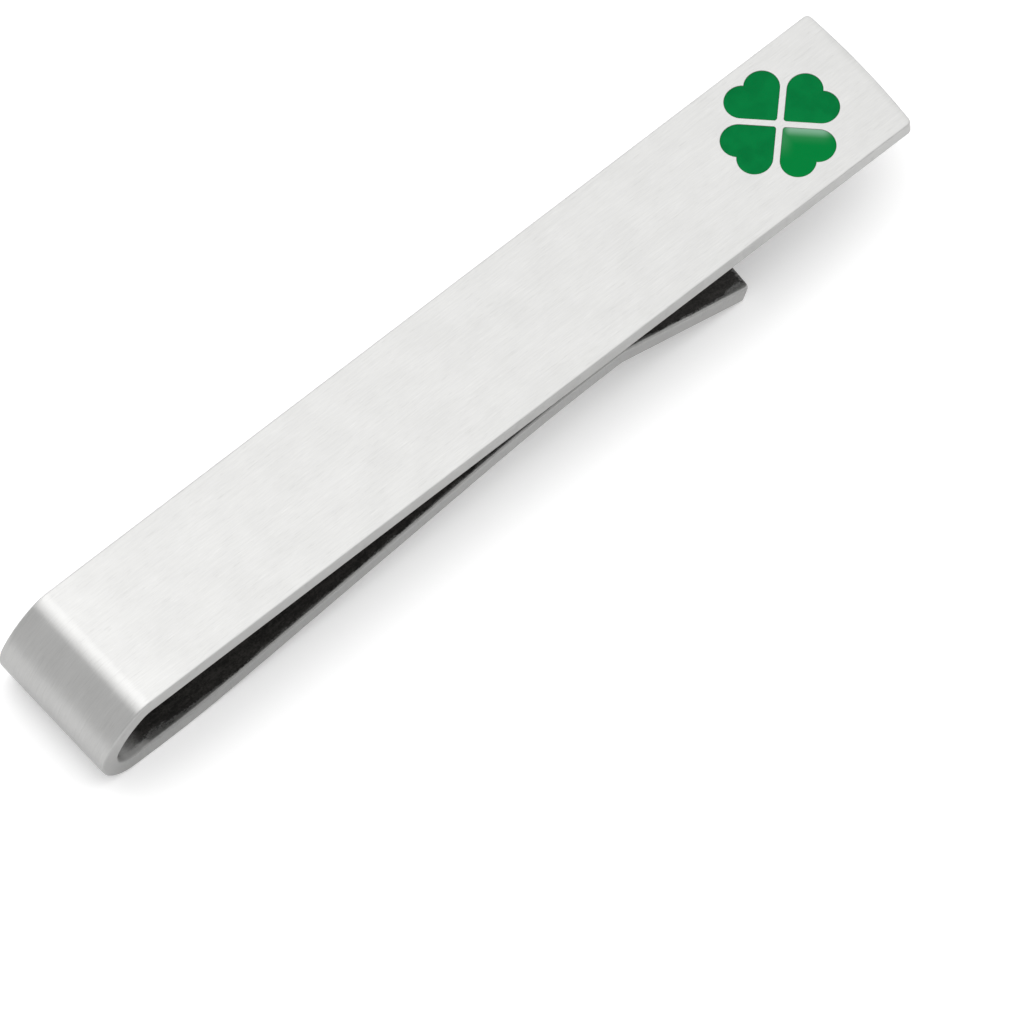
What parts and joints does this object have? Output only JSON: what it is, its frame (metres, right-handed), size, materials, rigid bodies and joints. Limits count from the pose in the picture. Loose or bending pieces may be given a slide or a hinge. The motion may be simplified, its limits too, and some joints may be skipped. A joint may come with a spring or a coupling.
{
  "type": "tie clip",
  "caption": "Flat metal tie bar folded into a spring clip, with a bowed leg, a flared lead-in lip and a green enamel clover set into its front.",
  "frame": {"origin": "middle of the clip's footprint, on the floor it lies on with its front face up", "axes": "+X along the bar to the free end, +Y across the bar, +Z out of the front face"},
  "size_m": [0.0522, 0.008, 0.0052],
  "materials": {
    "brushed_steel": "satin, brushed along the bar and across the back of the leg",
    "green_enamel": "glossy enamel fill"
  },
  "bodies": {
    "front": {"front_bar": "brushed_steel", "fold_shoulder": "brushed_steel", "enamel_leaf_free_end": "green_enamel", "enamel_leaf_far_side": "green_enamel", "enamel_leaf_fold_end": "green_enamel", "enamel_leaf_near_side": "green_enamel"},
    "leg": {"fold_heel": "brushed_steel", "spring_leg": "brushed_steel", "lead_in_lip": "brushed_steel"}
  },
  "joints": [
    {"name": "fold_flex", "type": "hinge", "parent": "leg", "child": "front", "pos_m": [-0.02542, 0, 0.00133], "axis": [0, -1, 0], "range_deg": [0, 5], "stiffness_Nm_per_rad": 3.2}
  ]
}
